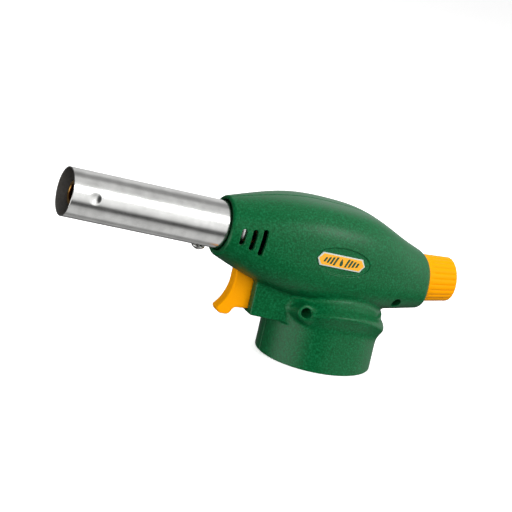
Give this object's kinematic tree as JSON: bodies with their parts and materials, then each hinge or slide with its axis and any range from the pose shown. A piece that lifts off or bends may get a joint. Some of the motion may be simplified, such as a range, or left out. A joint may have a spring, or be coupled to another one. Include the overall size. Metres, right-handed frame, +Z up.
{
  "type": "gas torch",
  "caption": "Hand-held gas torch head with a flame tube, piezo trigger, flame control knob and a collar that locks on a gas cartridge.",
  "frame": {"origin": "centre of the collar's lower rim, on the gas cartridge's axis", "axes": "+Z up along the cartridge's axis, -X towards the flame, +X towards the knob, and the shells part on the plane Y = 0"},
  "size_m": [0.197, 0.0608, 0.0757],
  "materials": {
    "shell_plastic": "fine-textured semi-matte green moulding",
    "control_plastic": "satin orange moulding",
    "badge_face": "gloss amber plate with a pale border",
    "flame_tube_steel": "polished stainless, fine lengthwise brushing",
    "turned_steel": "turned",
    "screw_steel": "bright zinc plated",
    "zinc_plate": "zinc plated pressing",
    "brass": "turned brass",
    "copper": "drawn copper",
    "seal_rubber": "black rubber",
    "ceramic": "unglazed white ceramic",
    "piezo_plastic": "black moulding",
    "plunger_plastic": "off-white moulding",
    "wire_rubber": "red silicone insulation"
  },
  "bodies": {
    "root": {"left_shell": "shell_plastic", "right_shell": "shell_plastic", "badge": "badge_face", "shell_screw_front": "screw_steel", "shell_screw_rear": "screw_steel", "bayonet_plate": "zinc_plate", "bayonet_screw_1": "screw_steel", "bayonet_screw_2": "screw_steel", "bayonet_screw_3": "screw_steel", "bayonet_screw_4": "screw_steel", "cartridge_gasket": "seal_rubber", "inlet_nipple": "brass", "inlet_filter": "brass", "valve_body": "brass", "gland_nut": "brass", "gas_pipe": "copper", "jet_holder": "brass", "gas_jet": "brass", "burner_tube": "turned_steel", "burner_head": "brass", "flame_holder": "brass", "rear_centring_ring": "zinc_plate", "front_centring_ring": "zinc_plate", "flame_tube": "flame_tube_steel", "tube_screw": "screw_steel", "electrode_insulator": "ceramic", "electrode_pin": "turned_steel", "piezo_body": "piezo_plastic", "ignition_wire": "wire_rubber"},
    "spindle_seal": {"spindle_o_ring": "seal_rubber"},
    "knob_and_spindle": {"valve_spindle": "turned_steel", "knob": "control_plastic", "knob_screw": "screw_steel"},
    "trigger": {"trigger": "control_plastic", "piezo_plunger": "plunger_plastic"}
  },
  "joints": [
    {"name": "spindle_travel", "type": "slide", "parent": "root", "child": "spindle_seal", "axis": [0.9993, 0, 0.0366], "range_m": [0, 0.00112]},
    {"name": "knob_turn", "type": "hinge", "parent": "spindle_seal", "child": "knob_and_spindle", "pos_m": [0.045, 0, 0.0431], "axis": [0.9993, 0, 0.0366], "range_deg": [0, 540]},
    {"name": "trigger_pull", "type": "slide", "parent": "root", "child": "trigger", "axis": [1, 0, 0], "range_m": [0, 0.005], "stiffness_N_per_m": 1500, "springref_m": -0.004}
  ],
  "couplings": [
    {"joint": "knob_turn", "follows": "spindle_travel", "rad_per_m": 8377.5}
  ]
}
